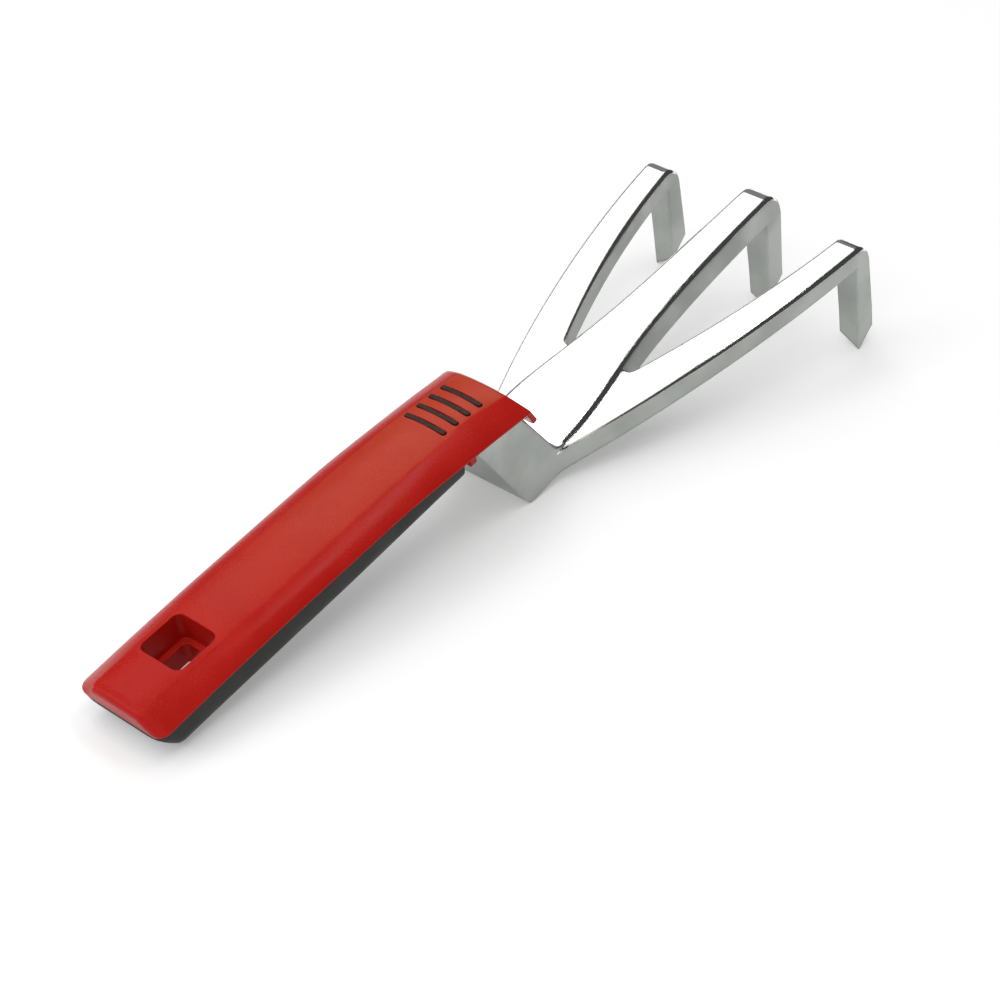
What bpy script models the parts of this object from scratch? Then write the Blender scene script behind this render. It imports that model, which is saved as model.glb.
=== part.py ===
# Garden cultivator: a cast three-tine head in a two-part moulded handle.
#
# The tool frame has its origin at the rear end of the handle's top line, +X towards the tines,
# +Y to the left and +Z up from the handle's top. A root empty then tilts the finished tool on to
# its heel and its tine tips, with the middle of its footprint at the world's origin.
import math

import bmesh
import bpy
from mathutils import Matrix, Vector

# Handle outline, metres
HANDLE_LENGTH = 0.1538
HANDLE_HALF_WIDTH_REAR = 0.0166
HANDLE_HALF_WIDTH_FRONT = 0.0167
HANDLE_LEVEL_SHARE = 0.30
HANDLE_DROP_EVEN = 0.36
HANDLE_DROP_END = 6
HANDLE_TOP_FLAT = 0.0085
HANDLE_TOP_DROP = 0.0061
HANDLE_CROWN_REAR = 0.0003
HANDLE_CROWN_FRONT = 0.0010
HANDLE_SHOULDER_PULL_REAR = 0.0018
HANDLE_SHOULDER_PULL_FRONT = 0.0024
HANDLE_SHOULDER_DROP_REAR = 0.0016
HANDLE_SHOULDER_DROP_FRONT = 0.0034
COVER_DEPTH_REAR = 0.0070
COVER_DEPTH_MIDDLE = 0.0060
COVER_DEPTH_FRONT = 0.0073
COVER_DIP_RUN = 0.0360
COVER_EDGE_SHARE = 0.12
COVER_WALL = 0.0018
REAR_CORNER_RADIUS = 0.0036
REAR_EDGE_RADIUS = 0.0026
REAR_SOFT_RUN = 0.0480
REAR_SOFT_PULL = 0.0014
REAR_SOFT_DROP = 0.0018
REAR_SOFT_POWER = 1.3
REAR_LEAN = 0.10
REAR_LEAN_RUN = 0.0150

# Front lip of the cover, which hangs in front of the neck
LIP_DEPTH = 0.0128
LIP_THICKNESS = 0.0017
LIP_LEAN = 0.44
LIP_EDGE_RADIUS = 0.0014
LIP_CORNER = 0.0012
LIP_SIDE_SHARE = 0.4
LIP_FLOOR_SHARE = 0.3
LIP_STEP = 0.00002

# Hang hole and slots in the cover
HANG_HOLE_START = 0.0174
HANG_HOLE_SIZE = 0.0160
HANG_HOLE_RADIUS = 0.0024
HANG_COLLAR_WALL = 0.0018
HANG_COLLAR_DEPTH = 0.0106
HANG_SLEEVE_SIZE = 0.0124
HANG_SLEEVE_WALL = 0.0015
SLOT_COUNT = 4
SLOT_FRONT_SETBACK = 0.0087
SLOT_PITCH = 0.00537
SLOT_LENGTH = 0.0160
SLOT_WIDTH = 0.0021

# Lower shell
SHELL_DEPTH = 0.0184
SHELL_FRONT_LIFT = 0.0019
SHELL_FRONT_SETBACK = 0.0272
SHELL_WALL = 0.0022
SHELL_STEP = 0.0005
SHELL_BOTTOM_FLAT = 0.0085
SHELL_CEILING_MARGIN = 0.0002
SHELL_SIDE_DRAFT = 0.0002
SHELL_SIDE_BULGE = 0.0005
SHELL_REAR_INSET = 0.0004
SHELL_LIFT_START = 0.55
SHELL_CAVITY_START = 0.0042
HEEL_SETBACK = 0.0076
HEEL_BLEND = 0.0024
COVER_LUG_LENGTH = 0.0026
COVER_LUG_DEPTH = 0.0028
COVER_LUG_INSIDE = 0.0095

# Fits
GAP = 0.0003
TANG_CLEARANCE = 0.0005

# Tine head: tang and neck
NECK_HALF_WIDTH = 0.0147
NECK_SETBACK = 0.0019
NECK_TOP_DEPTH = 0.0102
NECK_RUN = 0.0194
NECK_LEAN = 0.53
NECK_REAR_LEAN = 0.489
NECK_DROP = 0.0286
NECK_FOOT_RADIUS = 0.0035
NECK_INTO_PLATE = 0.0200
NECK_HEEL_RADIUS = 0.0030
NECK_HEEL_DEPTH = 0.0499
NECK_CORNER_INSIDE = 0.0110
NECK_CORNER_SLOPE = 0.49
TANG_THICKNESS = 0.0035
TANG_HALF_WIDTH = 0.0080
TANG_LENGTH = 0.0697
TANG_TOP_STEP = 0.00001

# Tine head: plate and tines
CENTRE_REACH = 0.1244
CENTRE_HALF_WIDTH_ROOT = 0.0146
CENTRE_HALF_WIDTH_END = 0.0047
CENTRE_SHOULDER = 0.0402
CENTRE_SHOULDER_START = 0.0060
CENTRE_SHOULDER_POWER = 2.2
CENTRE_RISE = 0.0064
CENTRE_RISE_EVEN = 0.20
CENTRE_DROP_HALF_WIDTH = 0.0042
SIDE_REACH = 0.1214
SIDE_SPREAD = 0.0438
SIDE_OUTER_EVEN = 0.42
SIDE_INNER_END = 0.0337
SIDE_INNER_EVEN = 0.52
SIDE_RISE = 0.0043
SIDE_RISE_EVEN = 0.15
SIDE_BELOW_PLATE = 0.0004
SIDE_STEP_ROOT = 0.0009
SIDE_STEP_RUN = 0.0950
CENTRE_BELOW_SIDE = 0.0004
SIDE_ROOT_THICKNESS = 0.0097
SIDE_THICKNESS_POWER = 1.3
CROTCH_REACH = 0.0386
CROTCH_INNER = 0.0132
CROTCH_RADIUS = 0.0016
CROTCH_ROUNDNESS = 0.8
CROTCH_STEP = 0.00001
TINE_THICKNESS = 0.0076
TINE_CHAMFER = 0.0012
TINE_CHAMFER_ROOT = 0.0004
TINE_CHAMFER_DROP = 0.0004
TINE_DRAFT = 0.0003
BEND_INNER_RADIUS = 0.0010
BEND_NARROWING = 0.35
BEND_THINNING_SIDE = 0.0011
BEND_THINNING_CENTRE = 0.0024
ROOT_OVERLAP = 0.0001
ROOT_INSIDE = 0.0060
DROP_WIDTH = 0.0081
DROP_THICKNESS = 0.0083
DROP_MIDDLE_SHARE = 0.9
DROP_LENGTH_SIDE = 0.0370
TIP_SLOPE_FRONT = 0.77
TIP_SLOPE_SIDE = 0.65

# Thumb grip
PAD_THICKNESS = 0.0015
PAD_MARGIN = 0.0040
PAD_HALF_WIDTH = 0.0088
RIB_RECESS = 0.0002

# Screws
SCREW_HEAD_RADIUS = 0.0033
SCREW_HEAD_HEIGHT = 0.0021
SCREW_SHANK_RADIUS = 0.0018
SCREW_LENGTH = 0.0105
SCREW_BOSS_WALL = 0.0018
BOSS_MIDDLE_SHARE = 0.50
BOSS_SIDE_SHARE = 0.86
BOSS_RISE = 0.0008
PILLAR_FOOT_SHARE = 0.75
SCREW_POINT_SHARE = 0.45
SCREW_HEAD_SHAPE = ((1.0, 0.0), (1.0, 0.45), (0.82, 0.85), (0.55, 1.0))
SCREW_RECESS_WIDTH = 0.0009
SCREW_RECESS_DEPTH = 0.0012
TANG_SCREW_REAR_INSET = 0.0150
TANG_SCREW_FRONT_INSET = 0.0500
SHELL_SCREW_AHEAD = 0.0090
SHELL_SCREW_Y = 0.0070

# Resolution of curved outlines, with the spacing of the sections that a shape is skinned over
SHOULDER_STEPS = 7
ARC_STEPS = 5
ROUND_STEPS = 28
BEND_STEPS = 7
HEEL_SPACING = 0.0015
FINE_SPACING = 0.0050
COVER_SPACING = 0.0060
COARSE_SPACING = 0.0080
REAR_SHARES = (0.0, 0.04, 0.15, 0.35, 0.65, 1.0)
CROTCH_SHARES = (0.0, 0.10, 0.35, 1.0)

COLOURS = {
    "red_plastic": ((0.52, 0.025, 0.012, 1.0), 0.34, 0.0),
    "dark_plastic": ((0.030, 0.036, 0.033, 1.0), 0.62, 0.0),
    "rib_rubber": ((0.030, 0.018, 0.015, 1.0), 0.55, 0.0),
    "cast_aluminium": ((0.80, 0.81, 0.80, 1.0), 0.16, 1.0),
    "screw_steel": ((0.55, 0.56, 0.57, 1.0), 0.30, 1.0),
}

for existing in list(bpy.data.objects):
    bpy.data.objects.remove(existing, do_unlink=True)

parts = bpy.data.collections.new("garden_cultivator")
cutters = bpy.data.collections.new("cutters")
bpy.context.scene.collection.children.link(parts)
bpy.context.scene.collection.children.link(cutters)

root = bpy.data.objects.new("cultivator_root", None)
parts.objects.link(root)


# Small helpers

def clamp01(value):
    return min(max(value, 0.0), 1.0)


def smooth(value):
    t = clamp01(value)
    return t * t * (3.0 - 2.0 * t)


def mix(a, b, t):
    return a + (b - a) * t


def bowed(t, straight):
    # Runs from 0 to 1, fast at first; straight is the share of an even run in it.
    return straight * t + (1.0 - straight) * (2.0 * t - t * t)


def round_inset(distance, radius):
    # How far a rounded edge of this radius lies inside its corner, at a distance from the end.
    if distance >= radius:
        return 0.0
    return radius - math.sqrt(max(radius * radius - (radius - distance) ** 2, 0.0))


def material(name):
    if name in bpy.data.materials:
        return bpy.data.materials[name]
    colour, roughness, metallic = COLOURS[name]
    made = bpy.data.materials.new(name)
    made.use_nodes = True
    shader = made.node_tree.nodes["Principled BSDF"]
    shader.inputs["Base Color"].default_value = colour
    shader.inputs["Roughness"].default_value = roughness
    shader.inputs["Metallic"].default_value = metallic
    return made


def add_object(name, mesh, matrix=None):
    made = bpy.data.objects.new(name, mesh)
    cutters.objects.link(made)
    made.parent = root
    if matrix is not None:
        made.matrix_local = matrix
    made.hide_render = True
    made.display_type = "WIRE"
    return made


def publish(part, material_name, sharp_angle=32.0):
    # Moves a finished sub-part from the tools to the object's own collection.
    cutters.objects.unlink(part)
    parts.objects.link(part)
    part.hide_render = False
    part.display_type = "TEXTURED"
    part.data.materials.clear()
    part.data.materials.append(material(material_name))
    part.data.shade_smooth()
    part.data.set_sharp_from_angle(angle=math.radians(sharp_angle))
    return part


def join(target, tool, operation):
    boolean = target.modifiers.new(operation.lower() + "_" + tool.name, "BOOLEAN")
    boolean.operation = operation
    boolean.solver = "EXACT"
    boolean.object = tool


def fuse(target, tool):
    join(target, tool, "UNION")


def cut(target, tool):
    join(target, tool, "DIFFERENCE")


def mesh_from(name, bm):
    bmesh.ops.recalc_face_normals(bm, faces=bm.faces)
    mesh = bpy.data.meshes.new(name)
    bm.to_mesh(mesh)
    bm.free()
    return mesh


def loft(name, rings):
    # Skins a run of closed rings that all have the same number of points.
    bm = bmesh.new()
    rows = [[bm.verts.new(point) for point in ring] for ring in rings]
    count = len(rows[0])
    for row, following in zip(rows, rows[1:]):
        for i in range(count):
            j = (i + 1) % count
            bm.faces.new((row[i], row[j], following[j], following[i]))
    bm.faces.new(rows[0])
    bm.faces.new(list(reversed(rows[-1])))
    return add_object(name, mesh_from(name, bm))


def box(name, low, high):
    bm = bmesh.new()
    size = Vector(high) - Vector(low)
    centre = (Vector(high) + Vector(low)) / 2.0
    bmesh.ops.create_cube(bm, size=1.0, matrix=Matrix.Translation(centre) @ Matrix.Diagonal((*size, 1.0)))
    return add_object(name, mesh_from(name, bm))


def post(name, x, y, radius, low, high):
    bm = bmesh.new()
    place = Matrix.Translation((x, y, (low + high) / 2.0))
    bmesh.ops.create_cone(bm, cap_ends=True, segments=ROUND_STEPS, radius1=radius, radius2=radius,
                          depth=high - low, matrix=place)
    return add_object(name, mesh_from(name, bm))


def outline_solid(name, outline, half_depth, matrix):
    # A flat outline with depth, as a filled curve that is then made a mesh.
    curve = bpy.data.curves.new(name + "_outline", "CURVE")
    curve.dimensions = "2D"
    curve.fill_mode = "BOTH"
    curve.extrude = half_depth
    spline = curve.splines.new("POLY")
    spline.points.add(len(outline) - 1)
    for point, (u, v) in zip(spline.points, outline):
        point.co = (u, v, 0.0, 1.0)
    spline.use_cyclic_u = True
    drawn = bpy.data.objects.new(name + "_outline", curve)
    cutters.objects.link(drawn)
    evaluated = drawn.evaluated_get(bpy.context.evaluated_depsgraph_get())
    mesh = bpy.data.meshes.new_from_object(evaluated)
    bm = bmesh.new()
    bm.from_mesh(mesh)
    bmesh.ops.remove_doubles(bm, verts=bm.verts, dist=0.000005)
    bmesh.ops.recalc_face_normals(bm, faces=bm.faces)
    bm.to_mesh(mesh)
    bm.free()
    bpy.data.objects.remove(drawn, do_unlink=True)
    return add_object(name, mesh, matrix)


def rounded_square(centre_x, half, radius):
    # Corner points of a square with round corners, centred on the handle's middle line.
    points = []
    for corner in range(4):
        start = corner * math.pi / 2.0
        cx = centre_x + (half - radius) * (1.0 if corner in (0, 3) else -1.0)
        cy = (half - radius) * (1.0 if corner in (0, 1) else -1.0)
        for step in range(ARC_STEPS + 1):
            angle = start + step / ARC_STEPS * math.pi / 2.0
            points.append((cx + radius * math.cos(angle), cy + radius * math.sin(angle)))
    return points


def stadium(centre_x, half_length, half_width):
    # A slot across the handle with round ends.
    points = []
    for side in (1.0, -1.0):
        for step in range(ARC_STEPS * 2 + 1):
            angle = math.pi * step / (ARC_STEPS * 2)
            x = centre_x + side * half_width * math.cos(angle)
            y = side * (half_length - half_width + half_width * math.sin(angle))
            points.append((x, y))
    return points


def upright(name, outline, low, high):
    middle = Matrix.Translation((0.0, 0.0, (low + high) / 2.0))
    return outline_solid(name, outline, (high - low) / 2.0, middle)


# Handle surfaces shared by the cover, the shell, the grip and the screws

def handle_run(x):
    return clamp01(x / HANDLE_LENGTH)


def top_z(x):
    # The top line runs level from the rear and bends down towards the front.
    level = HANG_HOLE_START + HANDLE_LEVEL_SHARE * HANG_HOLE_SIZE
    t = clamp01((x - level) / (HANDLE_LENGTH - level))
    return -HANDLE_TOP_DROP * mix(t ** HANDLE_DROP_END, t, HANDLE_DROP_EVEN)


def half_width(x):
    return mix(HANDLE_HALF_WIDTH_REAR, HANDLE_HALF_WIDTH_FRONT, handle_run(x))


def rear_softness(x):
    # The handle grows rounder and deeper towards its rear end.
    return clamp01(1.0 - x / REAR_SOFT_RUN) ** REAR_SOFT_POWER


def rear_lean(x):
    # The rear end slopes forward towards its lower edge.
    return REAR_LEAN * clamp01(1.0 - x / REAR_LEAN_RUN)


def neck_top_x():
    return HANDLE_LENGTH - NECK_SETBACK


def neck_rear_x():
    return neck_top_x() - NECK_RUN


def shell_front_x():
    return HANDLE_LENGTH - SHELL_FRONT_SETBACK


def cover_edge_z(x):
    # The parting line between the cover and what lies below it. It dips ahead of the shell.
    depth = mix(COVER_DEPTH_MIDDLE, COVER_DEPTH_REAR, rear_softness(x))
    dip = smooth((x - neck_rear_x() + COVER_DIP_RUN) / COVER_DIP_RUN)
    return top_z(x) - depth - (COVER_DEPTH_FRONT - COVER_DEPTH_MIDDLE) * dip


def shell_bottom_z(x):
    run = x / shell_front_x()
    lift = SHELL_FRONT_LIFT * clamp01((run - SHELL_LIFT_START) / (1.0 - SHELL_LIFT_START)) ** 2
    flat = -SHELL_DEPTH + lift
    # The rear slopes up to the parting line behind the heel.
    rear_top = cover_edge_z(0.0) - 2.0 * GAP
    slope = (rear_top + SHELL_DEPTH) / HEEL_SETBACK
    ramp = rear_top - slope * x
    difference = clamp01(0.5 + 0.5 * (ramp - flat) / HEEL_BLEND)
    return mix(flat, ramp, difference) + HEEL_BLEND * difference * (1.0 - difference)


def top_profile(x, side_inset, top_inset):
    # Half section of the handle's top, from the middle out to the side.
    run = handle_run(x)
    top = top_z(x) - top_inset
    crown = mix(HANDLE_CROWN_REAR, HANDLE_CROWN_FRONT, run)
    width = half_width(x) - side_inset
    a = (HANDLE_TOP_FLAT, top - crown)
    softness = rear_softness(x)
    pull = mix(HANDLE_SHOULDER_PULL_REAR, HANDLE_SHOULDER_PULL_FRONT, run) + softness * REAR_SOFT_PULL
    drop = mix(HANDLE_SHOULDER_DROP_REAR, HANDLE_SHOULDER_DROP_FRONT, run) + softness * REAR_SOFT_DROP
    b = (width - pull, top - drop)
    e = (width, mix(cover_edge_z(x), top_z(x), COVER_EDGE_SHARE))
    points = [(0.0, top), (HANDLE_TOP_FLAT / 2.0, top - crown / 4.0)]
    for step in range(SHOULDER_STEPS + 1):
        t = step / SHOULDER_STEPS
        y = (1 - t) ** 2 * a[0] + 2 * t * (1 - t) * b[0] + t * t * e[0]
        z = (1 - t) ** 2 * a[1] + 2 * t * (1 - t) * b[1] + t * t * e[1]
        points.append((y, z))
    return points


def lip_share(x):
    return smooth((x - slot_positions()[0]) / (HANDLE_LENGTH - slot_positions()[0]))


def cover_ring(x, side_inset, top_inset, floor, corner):
    half = top_profile(x, side_inset, top_inset)
    edge = half[-1][0]
    half += [(edge, floor + corner), (edge - corner, floor)]
    lean = lip_share(x) * LIP_LEAN + rear_lean(x)
    ring = [(x + lean * (top_z(x) - z), y, z) for y, z in reversed(half)]
    return ring + [(px, -y, z) for px, y, z in reversed(ring[:-1])]


def shell_ring(x, inset, ceiling, floor_inset):
    width = half_width(x) - SHELL_STEP - inset
    floor = min(shell_bottom_z(x) + floor_inset, ceiling - SHELL_CEILING_MARGIN)
    depth = ceiling - floor
    start = (width - SHELL_SIDE_DRAFT, ceiling - 0.3 * depth)
    control = (width - SHELL_SIDE_BULGE, floor)
    end = (SHELL_BOTTOM_FLAT, floor)
    half = [(0.0, floor)]
    for step in range(SHOULDER_STEPS, -1, -1):
        t = step / SHOULDER_STEPS
        y = (1 - t) ** 2 * start[0] + 2 * t * (1 - t) * control[0] + t * t * end[0]
        z = (1 - t) ** 2 * start[1] + 2 * t * (1 - t) * control[1] + t * t * end[1]
        half.append((y, z))
    half.append((width, ceiling))
    ring = [(x, y, z) for y, z in half]
    return ring + [(x, -y, z) for x, y, z in reversed(ring[1:])]


def rear_stations(radius):
    return [radius * share for share in REAR_SHARES]


def middle_stations(start, end, spacing):
    count = max(2, round((end - start) / spacing))
    return [mix(start, end, i / count) for i in range(1, count + 1)]


# Upper cover

def screw_places():
    tang_start = neck_rear_x() - TANG_LENGTH
    shell_screw_x = HANG_HOLE_START + HANG_HOLE_SIZE + SHELL_SCREW_AHEAD
    return [
        ("tang_screw_rear", tang_start + TANG_SCREW_REAR_INSET, 0.0),
        ("tang_screw_front", tang_start + TANG_SCREW_FRONT_INSET, 0.0),
        ("shell_screw_left", shell_screw_x, SHELL_SCREW_Y),
        ("shell_screw_right", shell_screw_x, -SHELL_SCREW_Y),
    ]


def screw_seat_z(x):
    # The heads lie just inside the shell's underside.
    return shell_bottom_z(x) + SCREW_HEAD_HEIGHT + GAP


def boss_split_depth(name):
    # Where the cover's boss meets the tang, or the shell's pillar beside it.
    return NECK_TOP_DEPTH if name.startswith("tang") else NECK_TOP_DEPTH - BOSS_RISE


def hang_hole_centre():
    return HANG_HOLE_START + HANG_HOLE_SIZE / 2.0


def slot_positions():
    return [HANDLE_LENGTH - SLOT_FRONT_SETBACK - i * SLOT_PITCH for i in range(SLOT_COUNT)]


def sleeve_outline(clearance):
    # Outer outline of the narrow sleeve that lines the hang hole through the shell.
    half = HANG_SLEEVE_SIZE / 2.0 + HANG_SLEEVE_WALL + clearance
    return rounded_square(hang_hole_centre(), half, HANG_HOLE_RADIUS + clearance)


def make_upper_cover():
    rings = []
    for x in rear_stations(REAR_CORNER_RADIUS):
        side = round_inset(x, REAR_CORNER_RADIUS)
        top = round_inset(x, REAR_EDGE_RADIUS)
        rings.append(cover_ring(x, side, top, cover_edge_z(x), GAP))
    lip_start = HANDLE_LENGTH - LIP_THICKNESS
    for x in middle_stations(REAR_CORNER_RADIUS, lip_start, COVER_SPACING):
        rings.append(cover_ring(x, 0.0, 0.0, cover_edge_z(x), GAP))
    lip_floor = top_z(HANDLE_LENGTH) - LIP_DEPTH
    rings.append(cover_ring(lip_start + LIP_STEP, 0.0, 0.0, lip_floor, LIP_CORNER))
    for step in range(ARC_STEPS + 1):
        angle = step / ARC_STEPS * math.pi / 2.0
        x = HANDLE_LENGTH - LIP_EDGE_RADIUS * (1.0 - math.sin(angle))
        inset = LIP_EDGE_RADIUS * (1.0 - math.cos(angle))
        side = LIP_SIDE_SHARE * inset
        rings.append(cover_ring(x, side, inset, lip_floor + LIP_FLOOR_SHARE * inset, LIP_CORNER))
    cover = loft("upper_cover", rings)

    cavity_rings = []
    for x in [COVER_WALL] + middle_stations(COVER_WALL, lip_start - GAP, COVER_SPACING):
        side = COVER_WALL + round_inset(x - COVER_WALL, REAR_CORNER_RADIUS - COVER_WALL)
        cavity_rings.append(cover_ring(x, side, COVER_WALL, cover_edge_z(x) - COVER_WALL, GAP))
    cut(cover, loft("cover_cavity", cavity_rings))

    collar_half = HANG_HOLE_SIZE / 2.0 + HANG_COLLAR_WALL
    collar = rounded_square(hang_hole_centre(), collar_half, HANG_HOLE_RADIUS + HANG_COLLAR_WALL)
    ledge = -HANG_COLLAR_DEPTH - HANG_SLEEVE_WALL
    fuse(cover, upright("hang_collar", collar, ledge, -COVER_WALL / 2.0))
    sleeve_top = ledge + HANG_SLEEVE_WALL / 2.0
    fuse(cover, upright("hang_sleeve", sleeve_outline(0.0), -SHELL_DEPTH + GAP, sleeve_top))
    for name, x, y in screw_places():
        radius = SCREW_SHANK_RADIUS + GAP + SCREW_BOSS_WALL
        low = -boss_split_depth(name) + GAP / 2.0
        high = top_z(x) - (BOSS_SIDE_SHARE if y else BOSS_MIDDLE_SHARE) * COVER_WALL
        fuse(cover, post("boss_" + name, x, y, radius, low, high))
    for side in (1.0, -1.0):
        inner = side * COVER_LUG_INSIDE
        end = neck_rear_x() - TANG_CLEARANCE
        outer = side * (half_width(end) - COVER_WALL / 2.0)
        low = (end - COVER_LUG_LENGTH, min(inner, outer), cover_edge_z(end) - COVER_LUG_DEPTH)
        high = (end, max(inner, outer), cover_edge_z(end) + COVER_WALL / 2.0)
        fuse(cover, box("cover_lug_left" if side > 0 else "cover_lug_right", low, high))

    hole = rounded_square(hang_hole_centre(), HANG_HOLE_SIZE / 2.0, HANG_HOLE_RADIUS)
    cut(cover, upright("hang_hole_cut", hole, -HANG_COLLAR_DEPTH, COVER_WALL))
    bore_radius = HANG_HOLE_RADIUS - HANG_SLEEVE_WALL / 2.0
    bore = rounded_square(hang_hole_centre(), HANG_SLEEVE_SIZE / 2.0, bore_radius)
    cut(cover, upright("hang_sleeve_cut", bore, -2.0 * SHELL_DEPTH, 0.0))
    for i, x in enumerate(slot_positions()):
        slot = stadium(x, SLOT_LENGTH / 2.0, SLOT_WIDTH / 2.0)
        cut(cover, upright(f"slot_cut_{i + 1}", slot, top_z(x) - 2.0 * COVER_WALL, top_z(x) + COVER_WALL))
    for name, x, y in screw_places():
        tip = screw_seat_z(x) + SCREW_LENGTH + GAP
        cut(cover, post("pilot_" + name, x, y, SCREW_SHANK_RADIUS + GAP, -SHELL_DEPTH, tip))
    return publish(cover, "red_plastic", 26.0)


# Lower shell

def make_lower_shell():
    radius = REAR_CORNER_RADIUS - SHELL_STEP
    start = SHELL_REAR_INSET + REAR_LEAN * COVER_DEPTH_REAR
    rings = []
    for distance in rear_stations(radius):
        x = start + distance
        rings.append(shell_ring(x, round_inset(distance, radius), cover_edge_z(x) - GAP, 0.0))
    for x in middle_stations(start + radius, 2.0 * HEEL_SETBACK, HEEL_SPACING):
        rings.append(shell_ring(x, 0.0, cover_edge_z(x) - GAP, 0.0))
    for x in middle_stations(2.0 * HEEL_SETBACK, shell_front_x(), COARSE_SPACING):
        rings.append(shell_ring(x, 0.0, cover_edge_z(x) - GAP, 0.0))
    shell = loft("lower_shell", rings)

    cavity_rings = []
    start = SHELL_CAVITY_START
    for x in [start] + middle_stations(start, shell_front_x() - SHELL_WALL, FINE_SPACING):
        cavity_rings.append(shell_ring(x, SHELL_WALL, cover_edge_z(x) + SHELL_WALL, SHELL_WALL))
    cut(shell, loft("shell_cavity", cavity_rings))

    collar = sleeve_outline(GAP + SHELL_WALL)
    collar_top = -HANG_COLLAR_DEPTH - HANG_SLEEVE_WALL - GAP
    fuse(shell, upright("shell_collar", collar, -SHELL_DEPTH + SHELL_WALL / 2.0, collar_top))
    for name, x, y in screw_places():
        pillar_radius = SCREW_HEAD_RADIUS + GAP + SHELL_WALL / 2.0
        foot = shell_bottom_z(x) + PILLAR_FOOT_SHARE * SHELL_WALL
        top = -boss_split_depth(name) - GAP / 2.0
        if name.startswith("tang"):
            top = -NECK_TOP_DEPTH - TANG_THICKNESS - GAP
        fuse(shell, post("pillar_" + name, x, y, pillar_radius, foot, top))

    cut(shell, upright("shell_hole_cut", sleeve_outline(GAP), -2.0 * SHELL_DEPTH, 0.0))
    for name, x, y in screw_places():
        cut(shell, post("clear_" + name, x, y, SCREW_SHANK_RADIUS + GAP, -2.0 * SHELL_DEPTH, 0.0))
        seat_top = screw_seat_z(x) + GAP
        cut(shell, post("seat_" + name, x, y, SCREW_HEAD_RADIUS + GAP, -2.0 * SHELL_DEPTH, seat_top))
    side = TANG_HALF_WIDTH + TANG_CLEARANCE
    low = (shell_front_x() - 2.0 * SHELL_WALL, -side, -NECK_TOP_DEPTH - TANG_THICKNESS - TANG_CLEARANCE)
    cut(shell, box("tang_notch", low, (shell_front_x() + SHELL_WALL, side, 0.0)))
    return publish(shell, "dark_plastic")


# Tine head

def neck_front_x(z):
    return neck_top_x() + NECK_LEAN * (-NECK_TOP_DEPTH - z)


def plate_root_x():
    return neck_front_x(-NECK_TOP_DEPTH - NECK_DROP)


def centre_top_z(x):
    t = clamp01((x - plate_root_x()) / CENTRE_REACH)
    return -NECK_TOP_DEPTH - NECK_DROP + CENTRE_RISE * bowed(t, CENTRE_RISE_EVEN)


def side_step(x):
    # The side tine starts as a step beside the plate and rises to its own height along its length.
    return SIDE_STEP_ROOT * (1.0 - smooth((x - plate_root_x()) / SIDE_STEP_RUN))


def side_line_z(x):
    t = clamp01((x - plate_root_x()) / SIDE_REACH)
    return -NECK_TOP_DEPTH - NECK_DROP - SIDE_BELOW_PLATE + SIDE_RISE * bowed(t, SIDE_RISE_EVEN)


def side_top_z(x):
    return side_line_z(x) - side_step(x)


def side_bottom_z(x):
    t = clamp01((x - plate_root_x()) / SIDE_REACH)
    return side_line_z(x) - mix(TINE_THICKNESS, SIDE_ROOT_THICKNESS, (1.0 - t) ** SIDE_THICKNESS_POWER)


def side_chamfer(x):
    return max(TINE_CHAMFER - side_step(x), TINE_CHAMFER_ROOT)


def centre_bottom_z(x):
    return side_bottom_z(x) - CENTRE_BELOW_SIDE


def centre_half_width(x):
    distance = max(x - plate_root_x() - CENTRE_SHOULDER_START, 0.0)
    share = 1.0 / (1.0 + (distance / CENTRE_SHOULDER) ** CENTRE_SHOULDER_POWER)
    return mix(CENTRE_HALF_WIDTH_END, CENTRE_HALF_WIDTH_ROOT, share)


def side_outer_y(x):
    t = clamp01((x - plate_root_x()) / SIDE_REACH)
    return mix(NECK_HALF_WIDTH - ROOT_OVERLAP, SIDE_SPREAD, bowed(t, SIDE_OUTER_EVEN))


def side_inner_y(x):
    crotch = plate_root_x() + CROTCH_REACH
    if x < crotch:
        return CENTRE_HALF_WIDTH_END
    t = clamp01((x - crotch) / (SIDE_REACH - CROTCH_REACH))
    edge = mix(CROTCH_INNER, SIDE_INNER_END, bowed(t, SIDE_INNER_EVEN))
    return edge - CROTCH_ROUNDNESS * round_inset(x - crotch, CROTCH_RADIUS)


def bar_section(y_low, y_high, thickness, chamfer):
    # Section of a tine: across it, and up from its underside.
    return [
        (y_low + TINE_DRAFT, 0.0),
        (y_high - TINE_DRAFT, 0.0),
        (y_high, thickness - chamfer),
        (y_high - chamfer, thickness),
        (y_low + chamfer, thickness),
        (y_low, thickness - chamfer),
    ]


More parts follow.
